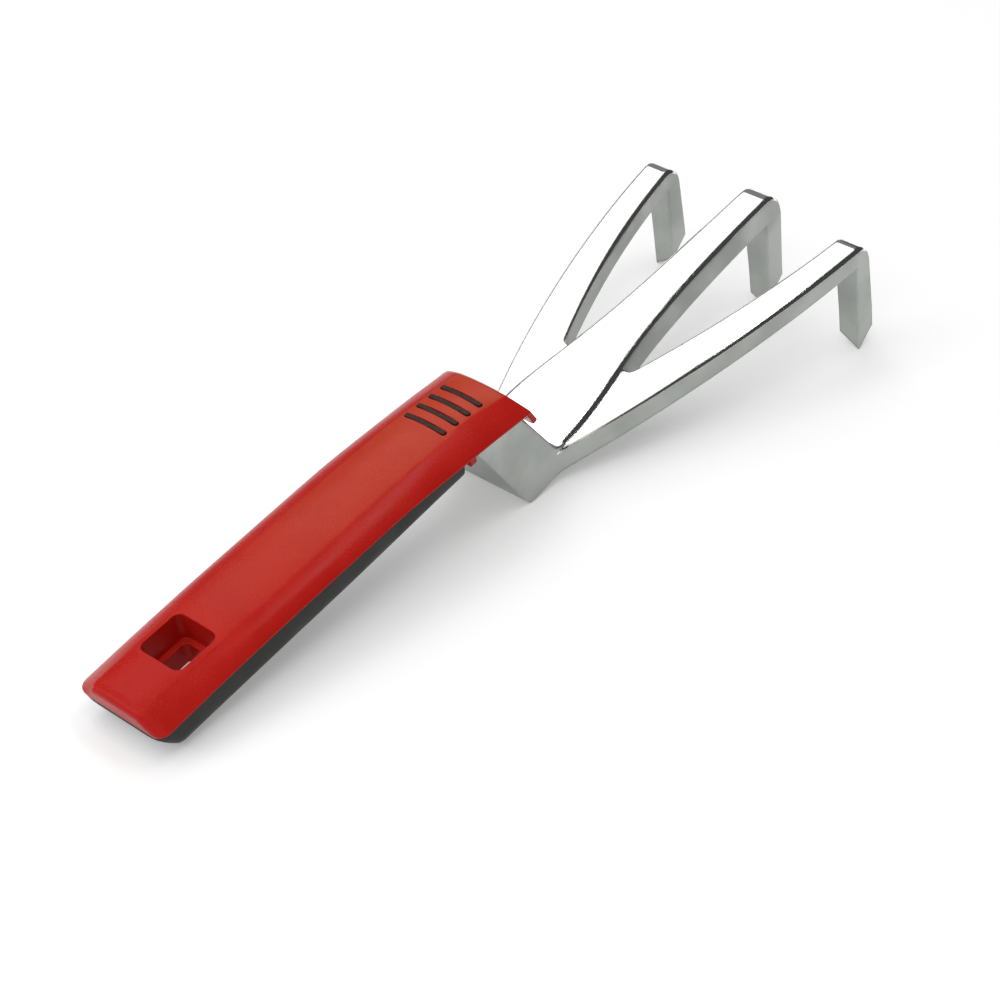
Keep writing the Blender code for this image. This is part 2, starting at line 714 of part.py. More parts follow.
def tine_rings(stations, low_y, high_y, top, bottom, chamfer, thinning, drop_low, drop_high, drop_end):
    # Straight run, then a bend about the inner corner, then the drop to the point.
    rings = []
    for x in stations:
        section = bar_section(low_y(x), high_y(x), top(x) - bottom(x), chamfer(x))
        rings.append([(x, y, bottom(x) + n) for y, n in section])
    bend_x = stations[-1]
    centre_z = bottom(bend_x) - BEND_INNER_RADIUS
    thickness = top(bend_x) - bottom(bend_x)
    for step in range(1, BEND_STEPS + 1):
        turn = step / BEND_STEPS
        angle = turn * math.pi / 2.0
        share = turn * BEND_NARROWING
        # The outside of the bend is cut lower than a round bend would be.
        depth = thickness - thinning * smooth(turn)
        section = bar_section(mix(low_y(bend_x), drop_low, share), mix(high_y(bend_x), drop_high, share),
                              depth, mix(TINE_CHAMFER, TINE_CHAMFER_DROP, turn))
        rings.append([(bend_x + (BEND_INNER_RADIUS + n) * math.sin(angle), y,
                       centre_z + (BEND_INNER_RADIUS + n) * math.cos(angle)) for y, n in section])
    for share, z in ((DROP_MIDDLE_SHARE, mix(centre_z, drop_end, 0.5)), (1.0, drop_end)):
        section = bar_section(mix(low_y(bend_x), drop_low, share), mix(high_y(bend_x), drop_high, share),
                              mix(thickness - thinning, DROP_THICKNESS, share), TINE_CHAMFER_DROP)
        rings.append([(bend_x + BEND_INNER_RADIUS + n, y, z) for y, n in section])
    return rings


def slice_off(part, point, normal):
    # Removes what lies beyond a plane and closes the cut.
    bm = bmesh.new()
    bm.from_mesh(part.data)
    geometry = bm.verts[:] + bm.edges[:] + bm.faces[:]
    bmesh.ops.bisect_plane(bm, geom=geometry, plane_co=point, plane_no=Vector(normal).normalized(),
                           clear_outer=True)
    rim = [edge for edge in bm.edges if edge.is_boundary]
    bmesh.ops.contextual_create(bm, geom=rim)
    bmesh.ops.recalc_face_normals(bm, faces=bm.faces)
    bm.to_mesh(part.data)
    bm.free()


def side_rear_x():
    return plate_root_x() + SIDE_REACH


def side_tip_z():
    return side_bottom_z(side_rear_x()) - DROP_LENGTH_SIDE


def tip_line_z(x):
    # The floor, seen from the tool frame, runs from the heel through the side tips.
    slope = (side_tip_z() - heel_z()) / (side_rear_x() + BEND_INNER_RADIUS - heel_x())
    return heel_z() + slope * (x - heel_x())


def heel_x():
    return HEEL_SETBACK + 0.5 * HEEL_BLEND


def heel_z():
    return -SHELL_DEPTH


def make_side_tine(name, side):
    root_x = plate_root_x()
    crotch = root_x + CROTCH_REACH
    bend_x = side_rear_x()
    start = root_x - ROOT_INSIDE
    stations = [start] + middle_stations(start, crotch - CROTCH_STEP, FINE_SPACING)
    stations += [crotch + CROTCH_RADIUS * share for share in CROTCH_SHARES]
    stations += middle_stations(crotch + CROTCH_RADIUS, bend_x, COARSE_SPACING)
    drop_high = SIDE_SPREAD - 2.0 * TINE_DRAFT
    rings = tine_rings(stations, side_inner_y, side_outer_y, side_top_z, side_bottom_z, side_chamfer,
                       BEND_THINNING_SIDE, drop_high - DROP_WIDTH, drop_high, side_tip_z() - DROP_WIDTH)
    rings = [[(x, side * y, z) for x, y, z in ring] for ring in rings]
    tine = loft(name, rings)
    corner = (bend_x + BEND_INNER_RADIUS, side * (drop_high - TINE_DRAFT), side_tip_z())
    # The point is ground to one slope, lowest at the outer rear corner.
    slice_off(tine, corner, (TIP_SLOPE_FRONT, -side * TIP_SLOPE_SIDE, -1.0))
    return tine


def make_centre_tine():
    root_x = plate_root_x()
    bend_x = root_x + CENTRE_REACH
    stations = [root_x - ROOT_INSIDE] + middle_stations(root_x - ROOT_INSIDE, bend_x, COVER_SPACING)
    tip_z = tip_line_z(bend_x + BEND_INNER_RADIUS)
    rings = tine_rings(stations, lambda x: -centre_half_width(x), centre_half_width, centre_top_z,
                       centre_bottom_z, lambda x: TINE_CHAMFER, BEND_THINNING_CENTRE,
                       -CENTRE_DROP_HALF_WIDTH, CENTRE_DROP_HALF_WIDTH, tip_z - DROP_WIDTH)
    tine = loft("centre_tine", rings)
    corner = (bend_x + BEND_INNER_RADIUS, 0.0, tip_z)
    for side in (1.0, -1.0):
        slice_off(tine, corner, (TIP_SLOPE_FRONT, side * TIP_SLOPE_SIDE, -1.0))
    return tine


def arc_between(centre, radius, start, end, steps):
    return [(centre[0] + radius * math.cos(mix(start, end, i / steps)),
             centre[1] + radius * math.sin(mix(start, end, i / steps))) for i in range(steps + 1)]


def corner_arc(before, corner, after, radius, steps):
    # Round the corner of an outline, whichever way it turns.
    corner = Vector(corner)
    to_before = (Vector(before) - corner).normalized()
    to_after = (Vector(after) - corner).normalized()
    half_angle = to_before.angle(to_after) / 2.0
    middle = corner + (to_before + to_after).normalized() * (radius / math.sin(half_angle))
    reach = radius / math.tan(half_angle)
    start = corner + to_before * reach - middle
    end = corner + to_after * reach - middle
    a0 = math.atan2(start.y, start.x)
    turn = math.atan2(end.y, end.x) - a0
    turn = (turn + math.pi) % (2.0 * math.pi) - math.pi
    return arc_between(middle, radius, a0, a0 + turn, steps)


def make_tine_head():
    root_x = plate_root_x()
    plate_z = -NECK_TOP_DEPTH - NECK_DROP
    top = (neck_top_x(), -NECK_TOP_DEPTH)
    rear_top = (neck_rear_x(), -NECK_TOP_DEPTH)
    heel = (rear_top[0] + NECK_REAR_LEAN * (NECK_HEEL_DEPTH - NECK_TOP_DEPTH), -NECK_HEEL_DEPTH)
    end_x = root_x + NECK_INTO_PLATE
    end_low = (end_x, side_bottom_z(end_x) + TINE_CHAMFER)
    foot = (root_x, plate_z)
    ahead = (root_x + NECK_FOOT_RADIUS, plate_z)
    inside = (ahead[0], plate_z - SIDE_ROOT_THICKNESS / 2.0)
    outline = [top, rear_top]
    outline += corner_arc(rear_top, heel, end_low, NECK_HEEL_RADIUS, ARC_STEPS)
    outline += [end_low, inside, ahead]
    outline += corner_arc(ahead, foot, top, NECK_FOOT_RADIUS, ARC_STEPS)
    # The outline is drawn in X and Z, so its plane is stood up about X.
    stand = Matrix.Rotation(math.pi / 2.0, 4, "X")
    head = outline_solid("tine_head", outline, NECK_HALF_WIDTH, Matrix.Identity(4))
    head.data.transform(stand)
    # Its upper corners are cut back to lie inside the cover's shoulders.
    for side in (1.0, -1.0):
        corner = (neck_top_x(), side * NECK_CORNER_INSIDE, -NECK_TOP_DEPTH)
        slice_off(head, corner, (0.0, side * NECK_CORNER_SLOPE, 1.0))

    low = (neck_rear_x() - TANG_LENGTH, -TANG_HALF_WIDTH, -NECK_TOP_DEPTH - TANG_THICKNESS)
    high = (neck_rear_x() + NECK_RUN / 2.0, TANG_HALF_WIDTH, -NECK_TOP_DEPTH - TANG_TOP_STEP)
    fuse(head, box("tang", low, high))
    fuse(head, make_centre_tine())
    fuse(head, make_side_tine("side_tine_left", 1.0))
    fuse(head, make_side_tine("side_tine_right", -1.0))
    for name, x, y in screw_places():
        if name.startswith("tang"):
            hole = post("tang_hole_" + name, x, y, SCREW_SHANK_RADIUS + GAP, -SHELL_DEPTH, 0.0)
            cut(head, hole)
    return publish(head, "cast_aluminium", 30.0)


# Thumb grip

def make_thumb_grip():
    positions = slot_positions()
    start = positions[-1] - PAD_MARGIN
    end = positions[0] + PAD_MARGIN
    rings = []
    for x in [start] + middle_stations(start, end, FINE_SPACING):
        crown = mix(HANDLE_CROWN_REAR, HANDLE_CROWN_FRONT, handle_run(x))
        under = top_z(x) - COVER_WALL - GAP
        upper = [(y, under - crown * (y / HANDLE_TOP_FLAT) ** 2) for y in
                 (-PAD_HALF_WIDTH, -PAD_HALF_WIDTH / 2.0, 0.0, PAD_HALF_WIDTH / 2.0, PAD_HALF_WIDTH)]
        lower = [(PAD_HALF_WIDTH, under - PAD_THICKNESS), (-PAD_HALF_WIDTH, under - PAD_THICKNESS)]
        rings.append([(x, y, z) for y, z in upper + lower])
    grip = loft("thumb_grip", rings)
    for i, x in enumerate(positions):
        rib = stadium(x, SLOT_LENGTH / 2.0 - GAP, SLOT_WIDTH / 2.0 - GAP)
        low = top_z(x) - COVER_WALL - GAP - PAD_THICKNESS / 2.0
        fuse(grip, upright(f"rib_{i + 1}", rib, low, top_z(x) - RIB_RECESS))
    return publish(grip, "rib_rubber")


# Screws

def make_screw(name, x, y):
    # Half outline of a pan head with its point upwards, turned about the screw's axis.
    profile = [
        (0.0, SCREW_LENGTH),
        (SCREW_SHANK_RADIUS * SCREW_POINT_SHARE, SCREW_LENGTH),
        (SCREW_SHANK_RADIUS, SCREW_LENGTH - SCREW_SHANK_RADIUS),
        (SCREW_SHANK_RADIUS, 0.0),
    ]
    profile += [(SCREW_HEAD_RADIUS * r, -SCREW_HEAD_HEIGHT * h) for r, h in SCREW_HEAD_SHAPE]
    profile.append((0.0, -SCREW_HEAD_HEIGHT))
    mesh = bpy.data.meshes.new(name)
    mesh.from_pydata([(r, 0.0, z) for r, z in profile], [(i, i + 1) for i in range(len(profile) - 1)], [])
    screw = add_object(name, mesh, Matrix.Translation((x, y, screw_seat_z(x))))
    turned = screw.modifiers.new("turned", "SCREW")
    turned.steps = ROUND_STEPS
    turned.render_steps = ROUND_STEPS
    turned.use_merge_vertices = True
    turned.merge_threshold = 0.00001
    turned.use_smooth_shade = True
    arm = SCREW_HEAD_RADIUS * SCREW_HEAD_SHAPE[-1][0]
    head_z = screw_seat_z(x) - SCREW_HEAD_HEIGHT
    for label, along, across in (("a", arm, SCREW_RECESS_WIDTH / 2.0), ("b", SCREW_RECESS_WIDTH / 2.0, arm)):
        low = (x - along, y - across, head_z - SCREW_HEAD_HEIGHT)
        cut(screw, box(f"recess_{label}_{name}", low, (x + along, y + across, head_z + SCREW_RECESS_DEPTH)))
    return publish(screw, "screw_steel")


make_tine_head()
make_upper_cover()
make_lower_shell()
make_thumb_grip()
for screw_name, screw_x, screw_y in screw_places():
    make_screw(screw_name, screw_x, screw_y)


# Stand the tool on its heel and its tips, with its footprint centred on the origin

def footprint():
    graph = bpy.context.evaluated_depsgraph_get()
    points = []
    for part in parts.objects:
        if part.type == "MESH":
            mesh = part.evaluated_get(graph).to_mesh()
            points += [part.matrix_world @ vertex.co for vertex in mesh.vertices]
    return ([min(p[i] for p in points) for i in range(3)], [max(p[i] for p in points) for i in range(3)])


tip_x = side_rear_x() + BEND_INNER_RADIUS
root.rotation_euler.y = math.atan2(side_tip_z() - heel_z(), tip_x - heel_x())
bpy.context.view_layer.update()
lowest, highest = footprint()
root.location = (-(lowest[0] + highest[0]) / 2.0, -(lowest[1] + highest[1]) / 2.0, -lowest[2])
bpy.context.view_layer.update()
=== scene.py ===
import math

import bmesh
import bpy
from mathutils import Matrix, Vector


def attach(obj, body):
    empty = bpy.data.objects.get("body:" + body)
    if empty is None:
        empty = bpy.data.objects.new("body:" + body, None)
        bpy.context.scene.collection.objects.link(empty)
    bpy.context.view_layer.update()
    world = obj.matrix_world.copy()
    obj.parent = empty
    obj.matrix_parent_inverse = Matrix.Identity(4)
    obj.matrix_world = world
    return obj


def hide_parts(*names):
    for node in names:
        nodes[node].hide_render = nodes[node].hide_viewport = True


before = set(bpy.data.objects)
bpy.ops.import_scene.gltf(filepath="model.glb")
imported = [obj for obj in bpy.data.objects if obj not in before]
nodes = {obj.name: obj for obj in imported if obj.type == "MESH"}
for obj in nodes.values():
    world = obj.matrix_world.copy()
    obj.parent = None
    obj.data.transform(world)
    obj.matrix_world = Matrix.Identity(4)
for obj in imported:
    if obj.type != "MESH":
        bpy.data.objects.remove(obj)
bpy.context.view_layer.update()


# camera, at the photograph's angle

cameraSettings = {
    "place": (-0.465724, -0.388410, 0.448210),
    "right": (0.643661, -0.765157, 0.015362),
    "down": (-0.449264, -0.394026, -0.801814),
    "lens": 87.29,  # millimetres, on a sensor as wide as below
    "sensor": 36.0,
    "near": 0.01, "far": 20.0,  # metres, the depth that the camera takes in
}


def makeCamera(settings):
    data = bpy.data.cameras.new("photoCamera")
    data.lens = settings["lens"]
    data.sensor_width = settings["sensor"]
    data.clip_start = settings["near"]
    data.clip_end = settings["far"]
    camera = bpy.data.objects.new("photoCamera", data)
    bpy.context.scene.collection.objects.link(camera)
    right = Vector(settings["right"]).normalized()
    up = -Vector(settings["down"]).normalized()
    back = right.cross(up)
    turn = Matrix((right, up, back)).transposed().to_4x4()
    camera.matrix_world = Matrix.Translation(settings["place"]) @ turn
    bpy.context.scene.camera = camera


makeCamera(cameraSettings)


# a white studio: a big box overhead, a narrow card above the handle's shoulder, a box behind its rear end and
# a soft fill that leaves no glare; a dark curtain beside the tool and a grey one ahead of it give the metal
# its edges

lampSettings = {
    "overheadBox": {
        "azimuth": 52.0, "height": 54.0, "away": 2.2,
        "wide": 1.5, "tall": 1.1, "level": 1.05, "glare": True,
    },
    "shoulderCard": {
        "azimuth": -34.0, "height": 71.0, "away": 1.5,
        "wide": 0.55, "tall": 0.16, "level": 6.5, "glare": True,
    },
    "rearBox": {
        "azimuth": 150.0, "height": 28.0, "away": 1.8,
        "wide": 1.1, "tall": 0.7, "level": 1.3, "glare": True,
    },
    "softFill": {
        "azimuth": 175.0, "height": 62.0, "away": 2.4,
        "wide": 2.6, "tall": 2.6, "level": 1.75, "glare": False,
    },
}
worldSettings = {"roomLevel": 0.36, "backgroundLevel": 1.0}
floorSettings = {
    "reach": 8.0, "colour": (0.84, 0.84, 0.84), "roughness": 0.9,
    "lift": 0.23,  # what it gives off near the tool, where a strength of 1 is white
    "near": 0.5, "far": 1.5,  # metres from the tool, where the fade to plain white starts and ends
}
curtainSettings = {
    "besideCurtain": {
        "from": -100.0, "to": 25.0, "low": 1.0, "high": 88.0, "away": 3.2,
        "steps": 26, "rows": 12, "level": 0.05,
    },
    "aheadCurtain": {
        "from": 25.0, "to": 125.0, "low": 1.0, "high": 43.0, "away": 3.2,
        "steps": 26, "rows": 12, "level": 0.20,
    },
}
white = (1.0, 1.0, 1.0, 1.0)
black = (0.0, 0.0, 0.0, 1.0)


def outward(azimuth, height):
    # the direction away from the tool, from an azimuth and a height in degrees
    around, above = math.radians(azimuth), math.radians(height)
    return Vector((math.cos(above) * math.cos(around), math.cos(above) * math.sin(around), math.sin(above)))


def makeLamp(name, settings):
    lamp = bpy.data.lights.new(name, "AREA")
    lamp.shape = "RECTANGLE"
    lamp.size = settings["wide"]
    lamp.size_y = settings["tall"]
    lamp.energy = settings["level"] * math.pi * settings["wide"] * settings["tall"]
    away = outward(settings["azimuth"], settings["height"])
    holder = bpy.data.objects.new(name, lamp)
    holder.location = away * settings["away"]
    holder.rotation_euler = (-away).to_track_quat("-Z", "Y").to_euler()
    holder.visible_glossy = settings["glare"]
    bpy.context.scene.collection.objects.link(holder)


def seenDirectly(tree):
    # 1 for the eye, for mirror reflections and through clear things; 0 for the light that falls on the tool
    path = tree.nodes.new("ShaderNodeLightPath")
    seen = path.outputs["Is Camera Ray"]
    for label in ("Is Glossy Ray", "Is Transmission Ray"):
        either = tree.nodes.new("ShaderNodeMath")
        either.operation = "MAXIMUM"
        tree.links.new(seen, either.inputs[0])
        tree.links.new(path.outputs[label], either.inputs[1])
        seen = either.outputs[0]
    return seen


def makeWorld(settings):
    world = bpy.data.worlds.new("studioRoom")
    bpy.context.scene.world = world
    world.use_nodes = True
    tree = world.node_tree
    room = tree.nodes["Background"]
    room.inputs["Color"].default_value = white
    room.inputs["Strength"].default_value = settings["roomLevel"]
    paper = tree.nodes.new("ShaderNodeBackground")
    paper.inputs["Strength"].default_value = settings["backgroundLevel"]
    mix = tree.nodes.new("ShaderNodeMixShader")
    tree.links.new(seenDirectly(tree), mix.inputs[0])
    tree.links.new(room.outputs[0], mix.inputs[1])
    tree.links.new(paper.outputs[0], mix.inputs[2])
    tree.links.new(mix.outputs[0], tree.nodes["World Output"].inputs["Surface"])


def makeFloor(settings):
    reach = settings["reach"]
    mesh = bpy.data.meshes.new("floorSheet")
    corners = [(-reach, -reach, 0.0), (reach, -reach, 0.0), (reach, reach, 0.0), (-reach, reach, 0.0)]
    mesh.from_pydata(corners, [], [(0, 1, 2, 3)])
    floor = bpy.data.objects.new("floorSheet", mesh)
    bpy.context.scene.collection.objects.link(floor)
    paper = bpy.data.materials.new("paleFloor")
    paper.use_nodes = True
    tree = paper.node_tree
    shader = tree.nodes["Principled BSDF"]
    shader.inputs["Roughness"].default_value = settings["roughness"]
    shader.inputs["Specular IOR Level"].default_value = 0.0
    shader.inputs["Emission Color"].default_value = white
    # paper near the tool, and plain white far out, where it fades into the backdrop
    distance = tree.nodes.new("ShaderNodeVectorMath")
    distance.operation = "LENGTH"
    tree.links.new(tree.nodes.new("ShaderNodeTexCoord").outputs["Object"], distance.inputs[0])
    fade = tree.nodes.new("ShaderNodeMapRange")
    fade.interpolation_type = "SMOOTHSTEP"
    fade.inputs["From Min"].default_value = settings["near"]
    fade.inputs["From Max"].default_value = settings["far"]
    tree.links.new(distance.outputs["Value"], fade.inputs["Value"])
    tone = tree.nodes.new("ShaderNodeMix")
    tone.data_type = "RGBA"
    tone.inputs["A"].default_value = (*settings["colour"], 1.0)
    tone.inputs["B"].default_value = black
    tree.links.new(fade.outputs["Result"], tone.inputs["Factor"])
    tree.links.new(tone.outputs["Result"], shader.inputs["Base Color"])
    lift = tree.nodes.new("ShaderNodeMapRange")
    lift.inputs["To Min"].default_value = settings["lift"]
    tree.links.new(fade.outputs["Result"], lift.inputs["Value"])
    gain = tree.nodes.new("ShaderNodeMath")
    gain.operation = "MULTIPLY"
    tree.links.new(seenDirectly(tree), gain.inputs[0])
    tree.links.new(lift.outputs["Result"], gain.inputs[1])
    tree.links.new(gain.outputs[0], shader.inputs["Emission Strength"])
    mesh.materials.append(paper)


def makeCurtain(name, settings):
    # a part of a dome round the tool, which only reflections see
    mesh = bpy.data.meshes.new(name)
    points, faces = [], []
    steps, rows = settings["steps"], settings["rows"]
    for step in range(steps + 1):
        azimuth = settings["from"] + (settings["to"] - settings["from"]) * step / steps
        for row in range(rows + 1):
            height = settings["low"] + (settings["high"] - settings["low"]) * row / rows
            points.append(outward(azimuth, height) * settings["away"])
            if step and row:
                here = step * (rows + 1) + row
                faces.append((here - rows - 2, here - 1, here, here - rows - 1))
    mesh.from_pydata(points, [], faces)
    curtain = bpy.data.objects.new(name, mesh)
    bpy.context.scene.collection.objects.link(curtain)
    curtain.visible_camera = False
    curtain.visible_diffuse = False
    curtain.visible_shadow = False
    curtain.visible_transmission = False
    cloth = bpy.data.materials.new(name + "Cloth")
    cloth.use_nodes = True
    shader = cloth.node_tree.nodes["Principled BSDF"]
    shader.inputs["Base Color"].default_value = black
    shader.inputs["Specular IOR Level"].default_value = 0.0
    shader.inputs["Emission Color"].default_value = white
    shader.inputs["Emission Strength"].default_value = settings["level"]
    mesh.materials.append(cloth)


makeWorld(worldSettings)
for name, settings in lampSettings.items():
    makeLamp(name, settings)
makeFloor(floorSettings)
for name, settings in curtainSettings.items():
    makeCurtain(name, settings)
bpy.context.scene.view_settings.view_transform = "Standard"
print("camera, lamps, floor and curtains are set")


# effects that several materials share; a pair gives where a mask starts and where it is full

edgeWearSettings = {"samples": 4, "turn": (0.01, 0.16), "patches": (0.35, 0.65), "least": 0.3, "detail": 3.0}
mouldGrainSettings = {"grainDetail": 3.0, "clouds": (0.3, 0.7), "cloudDetail": 4.0}
dustVeilSettings = {
    "upward": (0.55, 1.0), "specks": (0.42, 0.72), "speckDetail": 5.0,
    "drifts": (0.3, 0.7), "driftScale": 35.0, "driftDetail": 3.0, "least": 0.25,
}
polishLinesSettings = {"lineDetail": 2.0, "squeeze": (0.02, 1.0, 1.0), "waveDetail": 1.0}
softEdgeSettings = {"samples": 12}
# where the painted sheen lies: the upward top is lightened in place of the overhead light's reflection
paintedSheenSettings = {
    "upward": (0.925, 0.965), "patches": (0.3, 0.7), "patchScale": 120.0, "patchDetail": 4.0, "least": 0.75,
}


def newGroup(name, inputs, outputs, kind="NodeSocketFloat"):
    # a node group whose inputs are numbers and whose outputs are all of one kind
    tree = bpy.data.node_groups.new(name, "ShaderNodeTree")
    for label, value in inputs:
        socket = tree.interface.new_socket(label, in_out="INPUT", socket_type="NodeSocketFloat")
        socket.default_value = value
    for label in outputs:
        tree.interface.new_socket(label, in_out="OUTPUT", socket_type=kind)
    return tree, tree.nodes.new("NodeGroupInput"), tree.nodes.new("NodeGroupOutput")


def addMath(tree, operation, first, second=None, clamp=False):
    node = tree.nodes.new("ShaderNodeMath")
    node.operation = operation
    node.use_clamp = clamp
    for socket, value in zip(node.inputs, (first, second)):
        if value is None:
            continue
        if isinstance(value, (int, float)):
            socket.default_value = value
        else:
            tree.links.new(value, socket)
    return node.outputs[0]


def addRange(tree, value, fromLow, fromHigh, toLow=0.0, toHigh=1.0):
    node = tree.nodes.new("ShaderNodeMapRange")
    node.interpolation_type = "SMOOTHSTEP"
    tree.links.new(value, node.inputs["Value"])
    node.inputs["From Min"].default_value = fromLow
    node.inputs["From Max"].default_value = fromHigh
    node.inputs["To Min"].default_value = toLow
    node.inputs["To Max"].default_value = toHigh
    return node.outputs["Result"]


def addNoise(tree, scale, detail, squeeze=None):
    # noise in metres on the piece itself; squeeze draws it out along one axis
    place = tree.nodes.new("ShaderNodeTexCoord").outputs["Object"]
    if squeeze:
        scaled = tree.nodes.new("ShaderNodeMapping")
        scaled.inputs["Scale"].default_value = squeeze
        tree.links.new(place, scaled.inputs["Vector"])
        place = scaled.outputs["Vector"]
    noise = tree.nodes.new("ShaderNodeTexNoise")
    noise.inputs["Detail"].default_value = detail
    tree.links.new(place, noise.inputs["Vector"])
    if isinstance(scale, (int, float)):
        noise.inputs["Scale"].default_value = scale
    else:
        tree.links.new(scale, noise.inputs["Scale"])
    return noise.outputs["Fac"]


def makeEdgeWear(settings):
    # 1 on edges, broken up as handling leaves them
    sockets = [("Reach", 0.0005), ("Patch Scale", 300.0), ("Amount", 0.5)]
    tree, start, end = newGroup("edgeWear", sockets, ["Mask"])
    rounded = tree.nodes.new("ShaderNodeBevel")
    rounded.samples = settings["samples"]
    tree.links.new(start.outputs["Reach"], rounded.inputs["Radius"])
    geometry = tree.nodes.new("ShaderNodeNewGeometry")
    dot = tree.nodes.new("ShaderNodeVectorMath")
    dot.operation = "DOT_PRODUCT"
    tree.links.new(rounded.outputs["Normal"], dot.inputs[0])
    tree.links.new(geometry.outputs["Normal"], dot.inputs[1])
    edge = addRange(tree, addMath(tree, "SUBTRACT", 1.0, dot.outputs["Value"]), *settings["turn"])
    noise = addNoise(tree, start.outputs["Patch Scale"], settings["detail"])
    patches = addRange(tree, noise, *settings["patches"], settings["least"])
    mask = addMath(tree, "MULTIPLY", edge, patches)
    tree.links.new(addMath(tree, "MULTIPLY", mask, start.outputs["Amount"], True), end.inputs["Mask"])
    return tree


def makeMouldGrain(settings):
    # the fine skin of moulded or cast faces, with a slow cloud over it
    sockets = [("Grain Scale", 4000.0), ("Cloud Scale", 90.0)]
    tree, start, end = newGroup("mouldGrain", sockets, ["Height", "Cloud"])
    grain = addNoise(tree, start.outputs["Grain Scale"], settings["grainDetail"])
    clouds = addNoise(tree, start.outputs["Cloud Scale"], settings["cloudDetail"])
    tree.links.new(grain, end.inputs["Height"])
    tree.links.new(addRange(tree, clouds, *settings["clouds"]), end.inputs["Cloud"])
    return tree


def makeDustVeil(settings):
    # thin dust that settles on faces that look up
    tree, start, end = newGroup("dustVeil", [("Speck Scale", 1500.0), ("Amount", 0.1)], ["Mask"])
    geometry = tree.nodes.new("ShaderNodeNewGeometry")
    parts = tree.nodes.new("ShaderNodeSeparateXYZ")
    tree.links.new(geometry.outputs["Normal"], parts.inputs[0])
    upward = addRange(tree, parts.outputs["Z"], *settings["upward"])
    specks = addNoise(tree, start.outputs["Speck Scale"], settings["speckDetail"])
    specks = addRange(tree, specks, *settings["specks"])
    drifts = addNoise(tree, settings["driftScale"], settings["driftDetail"])
    drifts = addRange(tree, drifts, *settings["drifts"], settings["least"])
    mask = addMath(tree, "MULTIPLY", addMath(tree, "MULTIPLY", upward, specks), drifts)
    tree.links.new(addMath(tree, "MULTIPLY", mask, start.outputs["Amount"], True), end.inputs["Mask"])
    return tree


def makePolishLines(settings):
    # hair lines that a polishing belt leaves along the tool, and the slow wave of a hand-held pass
    sockets = [("Line Scale", 2600.0), ("Wave Scale", 40.0)]
    tree, start, end = newGroup("polishLines", sockets, ["Line", "Wave"])
    lines = addNoise(tree, start.outputs["Line Scale"], settings["lineDetail"], settings["squeeze"])
    tree.links.new(lines, end.inputs["Line"])
    tree.links.new(addNoise(tree, start.outputs["Wave Scale"], settings["waveDetail"]), end.inputs["Wave"])
    return tree


def makePaintedSheen(settings):
    # painted sheen: a lighter colour on the flat top that stands in for the overhead light's reflection, from
    # nothing at one place along the tool to full at another
    tree, start, end = newGroup("paintedSheen", [("Start", 0.0), ("Full", 0.1), ("Amount", 1.0)], ["Mask"])
    place = tree.nodes.new("ShaderNodeSeparateXYZ")
    tree.links.new(tree.nodes.new("ShaderNodeTexCoord").outputs["Object"], place.inputs[0])
    facing = tree.nodes.new("ShaderNodeSeparateXYZ")
    tree.links.new(tree.nodes.new("ShaderNodeNewGeometry").outputs["Normal"], facing.inputs[0])
    along = tree.nodes.new("ShaderNodeMapRange")
    tree.links.new(place.outputs["X"], along.inputs["Value"])
    tree.links.new(start.outputs["Start"], along.inputs["From Min"])
    tree.links.new(start.outputs["Full"], along.inputs["From Max"])
    upward = addRange(tree, facing.outputs["Z"], *settings["upward"])
    patches = addNoise(tree, settings["patchScale"], settings["patchDetail"])
    patches = addRange(tree, patches, *settings["patches"], settings["least"])
    mask = addMath(tree, "MULTIPLY", addMath(tree, "MULTIPLY", along.outputs["Result"], upward), patches)
    tree.links.new(addMath(tree, "MULTIPLY", mask, start.outputs["Amount"], True), end.inputs["Mask"])
    return tree


def makeSoftEdge(settings):
    # shading that runs round an edge, as on a cast or moulded piece
    tree, start, end = newGroup("softEdge", [("Radius", 0.0005)], ["Normal"], "NodeSocketVector")
    rounded = tree.nodes.new("ShaderNodeBevel")
    rounded.samples = settings["samples"]
    tree.links.new(start.outputs["Radius"], rounded.inputs["Radius"])
    tree.links.new(rounded.outputs["Normal"], end.inputs["Normal"])
    return tree


edgeWear = makeEdgeWear(edgeWearSettings)
mouldGrain = makeMouldGrain(mouldGrainSettings)
dustVeil = makeDustVeil(dustVeilSettings)
polishLines = makePolishLines(polishLinesSettings)
softEdge = makeSoftEdge(softEdgeSettings)
paintedSheen = makePaintedSheen(paintedSheenSettings)
print("shared effects are made")


def placeGroup(tree, group, **values):
    # values are keyed by the group's input names, with _ for each space
    node = tree.nodes.new("ShaderNodeGroup")
    node.node_tree = group
    for label, value in values.items():
        node.inputs[label.replace("_", " ")].default_value = value
    return node


def newMaterial(name, roughness, metallic):
    made = bpy.data.materials.new(name)
    made.use_nodes = True
    shader = made.node_tree.nodes["Principled BSDF"]
    shader.inputs["Roughness"].default_value = roughness
    shader.inputs["Metallic"].default_value = metallic
    return made, made.node_tree, shader


def mixColour(tree, amount, first, second):
    node = tree.nodes.new("ShaderNodeMix")
    node.data_type = "RGBA"
    tree.links.new(amount, node.inputs["Factor"])
    for socket, value in ((node.inputs["A"], first), (node.inputs["B"], second)):
        if isinstance(value, tuple):
            socket.default_value = (*value, 1.0)
        else:
            tree.links.new(value, socket)
    return node.outputs["Result"]


def addBump(tree, shader, height, depth, strength, before=None):
    bump = tree.nodes.new("ShaderNodeBump")
    bump.inputs["Distance"].default_value = depth
    bump.inputs["Strength"].default_value = strength
    tree.links.new(height, bump.inputs["Height"])
    if before:
        tree.links.new(before, bump.inputs["Normal"])
    tree.links.new(bump.outputs["Normal"], shader.inputs["Normal"])
    return bump.outputs["Normal"]


# moulded plastics and rubber

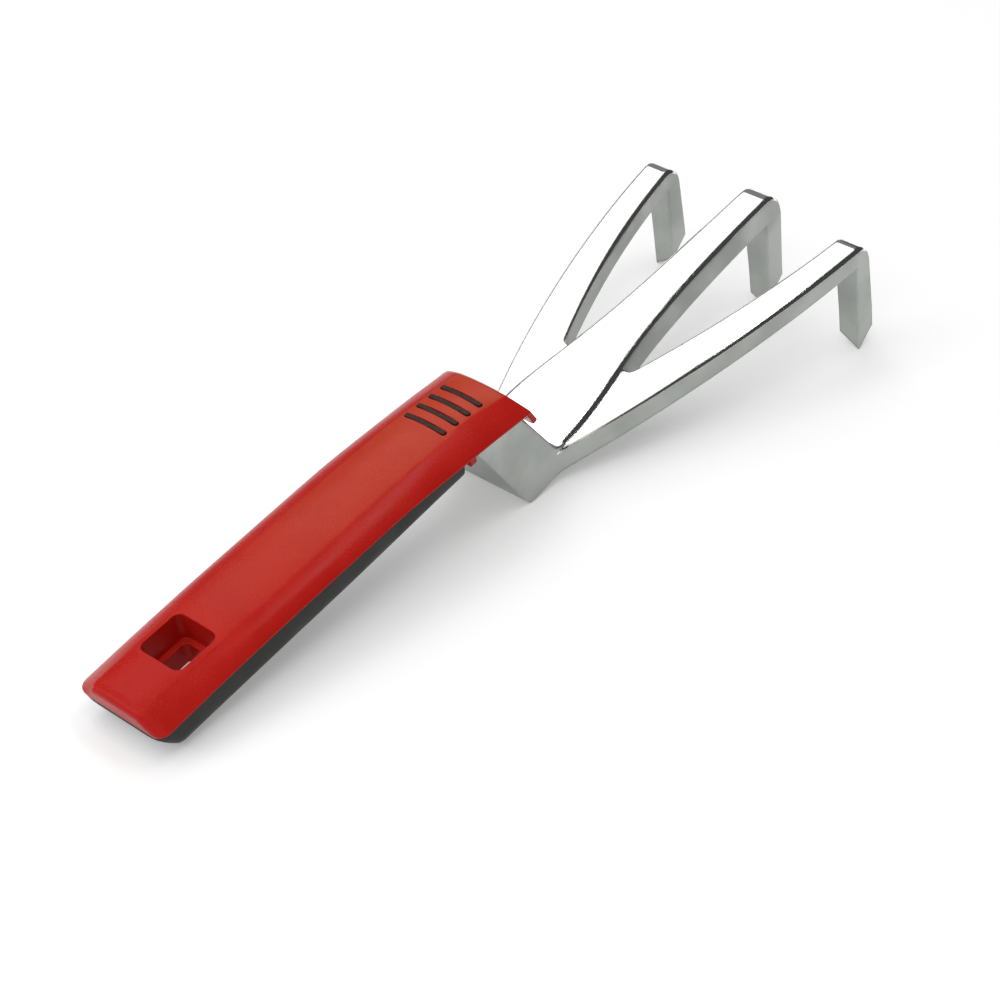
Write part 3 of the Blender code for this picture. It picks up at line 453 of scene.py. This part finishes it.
plasticSettings = {
    "redPlastic": {
        "colour": (0.480, 0.0120, 0.0075), "deep": (0.440, 0.0100, 0.0065), "worn": (0.60, 0.060, 0.030),
        # painted sheen: the lighter top colour and the shares where it starts and is full stand in for the
        # overhead light's reflection on the top
        "lightened": (0.490, 0.060, 0.026), "sheenFrom": 0.12, "sheenTo": 1.0,  # shares of the cover's length
        "roughness": (0.22, 0.28), "specular": 0.12,
        "grain": 3500.0, "grainDepth": 0.000008, "grainBump": 0.35, "cloud": 60.0,
        "edge": 0.40, "reach": 0.0005, "soft": 0.0005, "dust": 0.04, "dustColour": (0.50, 0.42, 0.36),
    },
    "darkPlastic": {
        "colour": (0.030, 0.034, 0.029), "deep": (0.024, 0.027, 0.023), "worn": (0.075, 0.080, 0.070),
        "roughness": (0.42, 0.55), "specular": 0.15,
        "grain": 2400.0, "grainDepth": 0.00005, "grainBump": 0.35, "cloud": 80.0,
        "edge": 0.5, "reach": 0.0005, "soft": 0.0004, "dust": 0.05, "dustColour": (0.35, 0.33, 0.30),
    },
    "ribRubber": {
        "colour": (0.040, 0.021, 0.015), "deep": (0.026, 0.013, 0.010), "worn": (0.10, 0.06, 0.045),
        "roughness": (0.50, 0.68), "specular": 0.25,
        "grain": 2800.0, "grainDepth": 0.00005, "grainBump": 0.35, "cloud": 150.0,
        "edge": 0.4, "reach": 0.0004, "soft": 0.0003, "dust": 0.18, "dustColour": (0.28, 0.22, 0.18),
    },
}


def makePlastic(name, settings):
    made, tree, shader = newMaterial(name, settings["roughness"][0], 0.0)
    shader.inputs["Specular IOR Level"].default_value = settings["specular"]
    soft = placeGroup(tree, softEdge, Radius=settings["soft"])
    grain = placeGroup(tree, mouldGrain, Grain_Scale=settings["grain"], Cloud_Scale=settings["cloud"])
    wear = placeGroup(tree, edgeWear, Reach=settings["reach"], Amount=settings["edge"])
    dust = placeGroup(tree, dustVeil, Amount=settings["dust"])
    clouded = mixColour(tree, grain.outputs["Cloud"], settings["deep"], settings["colour"])
    # painted sheen: the red cover's upward top is lightened more towards its front end, in place of the
    # overhead light's reflection
    if "lightened" in settings:
        along = [vertex.co.x for vertex in nodes["upper_cover"].data.vertices]
        rear, reach = min(along), max(along) - min(along)
        begins, ends = rear + reach * settings["sheenFrom"], rear + reach * settings["sheenTo"]
        paintedSheenMask = placeGroup(tree, paintedSheen, Start=begins, Full=ends)
        clouded = mixColour(tree, paintedSheenMask.outputs["Mask"], clouded, settings["lightened"])
    lightened = mixColour(tree, wear.outputs["Mask"], clouded, settings["worn"])
    dusted = mixColour(tree, dust.outputs["Mask"], lightened, settings["dustColour"])
    tree.links.new(dusted, shader.inputs["Base Color"])
    low, high = settings["roughness"]
    satin = addRange(tree, grain.outputs["Cloud"], 0.0, 1.0, low, high)
    tree.links.new(addMath(tree, "ADD", satin, dust.outputs["Mask"], True), shader.inputs["Roughness"])
    skin, depth = grain.outputs["Height"], settings["grainDepth"]
    addBump(tree, shader, skin, depth, settings["grainBump"], soft.outputs["Normal"])
    return made


# metals

headSettings = {
    "polished": (0.95, 0.955, 0.945), "polishedDull": (0.91, 0.915, 0.905), "polishedRoughness": (0.04, 0.09),
    "cast": (0.42, 0.44, 0.415), "castDark": (0.36, 0.377, 0.355), "castRoughness": (0.38, 0.48),
    "above": (0.46, 0.58), "ahead": (0.60, 0.72), "notUnder": (-0.45, -0.30),  # where polished faces look
    "bright": (0.80, 0.80, 0.79), "edge": 0.30, "reach": 0.0005, "soft": 0.0015,
    "lines": (0.3, 0.7), "lineDepth": 0.000004, "lineBump": 0.3, "waveDepth": 0.0004, "waveBump": 0.25,
    "grain": 1500.0, "cloud": 55.0, "castDepth": 0.00008, "castBump": 0.4,
}
screwSettings = {
    "colour": (0.56, 0.56, 0.54), "dull": (0.44, 0.43, 0.40), "bright": (0.72, 0.72, 0.70),
    "roughness": (0.24, 0.40), "edge": 0.6, "reach": 0.0003,
    "grain": 5000.0, "grainDepth": 0.00002, "grainBump": 0.3, "cloud": 700.0,
}


def makeHeadMetal(settings):
    # polished where a belt reaches, on top and round the outside of the bends, and as cast elsewhere
    made, tree, shader = newMaterial("castAluminium", settings["polishedRoughness"][0], 1.0)
    soft = placeGroup(tree, softEdge, Radius=settings["soft"])
    geometry = tree.nodes.new("ShaderNodeNewGeometry")
    facing = tree.nodes.new("ShaderNodeSeparateXYZ")
    tree.links.new(geometry.outputs["Normal"], facing.inputs[0])
    above = addRange(tree, facing.outputs["Z"], *settings["above"])
    ahead = addRange(tree, facing.outputs["X"], *settings["ahead"])
    notUnder = addRange(tree, facing.outputs["Z"], *settings["notUnder"])
    polish = addMath(tree, "MAXIMUM", above, addMath(tree, "MULTIPLY", ahead, notUnder))
    rest = addMath(tree, "SUBTRACT", 1.0, polish)
    lines = placeGroup(tree, polishLines)
    grain = placeGroup(tree, mouldGrain, Grain_Scale=settings["grain"], Cloud_Scale=settings["cloud"])
    wear = placeGroup(tree, edgeWear, Reach=settings["reach"], Amount=settings["edge"])
    shine = mixColour(tree, lines.outputs["Line"], settings["polished"], settings["polishedDull"])
    castSkin = mixColour(tree, grain.outputs["Cloud"], settings["castDark"], settings["cast"])
    lightened = mixColour(tree, wear.outputs["Mask"], castSkin, settings["bright"])
    tree.links.new(mixColour(tree, polish, lightened, shine), shader.inputs["Base Color"])
    lowPolish, highPolish = settings["polishedRoughness"]
    lowCast, highCast = settings["castRoughness"]
    smoothPart = addRange(tree, lines.outputs["Line"], *settings["lines"], lowPolish, highPolish)
    roughPart = addRange(tree, grain.outputs["Cloud"], 0.0, 1.0, highCast, lowCast)
    smoothPart = addMath(tree, "MULTIPLY", smoothPart, polish)
    roughPart = addMath(tree, "MULTIPLY", roughPart, rest)
    tree.links.new(addMath(tree, "ADD", smoothPart, roughPart, True), shader.inputs["Roughness"])
    skin = addMath(tree, "MULTIPLY", grain.outputs["Height"], rest)
    hairs = addMath(tree, "MULTIPLY", lines.outputs["Line"], polish)
    normal = addBump(tree, shader, skin, settings["castDepth"], settings["castBump"], soft.outputs["Normal"])
    normal = addBump(tree, shader, lines.outputs["Wave"], settings["waveDepth"], settings["waveBump"], normal)
    addBump(tree, shader, hairs, settings["lineDepth"], settings["lineBump"], normal)
    return made


def makeScrewMetal(settings):
    made, tree, shader = newMaterial("zincSteel", settings["roughness"][0], 1.0)
    grain = placeGroup(tree, mouldGrain, Grain_Scale=settings["grain"], Cloud_Scale=settings["cloud"])
    wear = placeGroup(tree, edgeWear, Reach=settings["reach"], Amount=settings["edge"])
    clouded = mixColour(tree, grain.outputs["Cloud"], settings["dull"], settings["colour"])
    lightened = mixColour(tree, wear.outputs["Mask"], clouded, settings["bright"])
    tree.links.new(lightened, shader.inputs["Base Color"])
    low, high = settings["roughness"]
    tree.links.new(addRange(tree, grain.outputs["Cloud"], 0.0, 1.0, high, low), shader.inputs["Roughness"])
    addBump(tree, shader, grain.outputs["Height"], settings["grainDepth"], settings["grainBump"])
    return made


materials = {name: makePlastic(name, settings) for name, settings in plasticSettings.items()}
materials["castAluminium"] = makeHeadMetal(headSettings)
materials["zincSteel"] = makeScrewMetal(screwSettings)
print("materials are made:", ", ".join(sorted(materials)))


# finished pieces: each node's own shape with its flats joined, its curves smoothed and its edges eased

pieceSettings = {
    "polishedHead": {
        "node": "tine_head", "slot": "cast_aluminium", "material": "castAluminium", "sharp": 24.0,
    },
    "redCover": {
        "node": "upper_cover", "slot": "red_plastic", "material": "redPlastic", "sharp": 30.0,
    },
    "darkShell": {
        "node": "lower_shell", "slot": "dark_plastic", "material": "darkPlastic", "sharp": 30.0,
        "ease": 0.00022, "steps": 2,
    },
    "ribPad": {
        "node": "thumb_grip", "slot": "rib_rubber", "material": "ribRubber", "sharp": 50.0,
        "ease": 0.00015, "steps": 2,
    },
}
for screw in ("tang_screw_rear", "tang_screw_front", "shell_screw_left", "shell_screw_right"):
    first, second, third = screw.split("_")
    pieceSettings[first + second.capitalize() + third.capitalize()] = {
        "node": screw, "slot": "screw_steel", "material": "zincSteel", "sharp": 40.0,
        "ease": 0.00010, "steps": 2,
    }
weldDistance = 0.000002  # points nearer than this become one
flatAngle = 0.05  # degrees; faces that lie flatter than this to each other are joined
shadingWeight = 80  # how far the big faces rule the shading of the small ones


def joinPiece(name, settings):
    shape = bmesh.new()
    shape.from_mesh(nodes[settings["node"]].data)
    bmesh.ops.remove_doubles(shape, verts=shape.verts, dist=weldDistance)
    bmesh.ops.dissolve_limit(shape, angle_limit=math.radians(flatAngle), verts=shape.verts, edges=shape.edges)
    for face in shape.faces:
        face.smooth = True
    if "ease" not in settings:
        for edge in shape.edges:
            edge.smooth = not edge.is_manifold or edge.calc_face_angle(0.0) < math.radians(settings["sharp"])
    mesh = bpy.data.meshes.new(name)
    shape.to_mesh(mesh)
    shape.free()
    if "custom_normal" in mesh.attributes:
        mesh.attributes.remove(mesh.attributes["custom_normal"])
    return mesh


def easeEdges(piece, settings):
    # a narrow real bevel; the head and the cover take theirs from the soft edge in their material alone
    eased = piece.modifiers.new("easedEdges", "BEVEL")
    eased.width = settings["ease"]
    eased.segments = settings["steps"]
    eased.limit_method = "ANGLE"
    eased.angle_limit = math.radians(settings["sharp"])
    eased.use_clamp_overlap = False
    eased.harden_normals = False
    eased.miter_outer = "MITER_ARC"


def evenShading(piece):
    weighted = piece.modifiers.new("evenShading", "WEIGHTED_NORMAL")
    weighted.keep_sharp = True
    weighted.weight = shadingWeight


def finishPiece(name, settings):
    mesh = joinPiece(name, settings)
    mesh.materials.clear()
    mesh.materials.append(materials[settings["material"]])
    piece = bpy.data.objects.new(name, mesh)
    bpy.context.scene.collection.objects.link(piece)
    if "ease" in settings:
        easeEdges(piece, settings)
    evenShading(piece)
    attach(piece, "root")
    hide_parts(settings["node"])
    return piece


pieces = {name: finishPiece(name, settings) for name, settings in pieceSettings.items()}
print("finished pieces:", ", ".join(pieces))
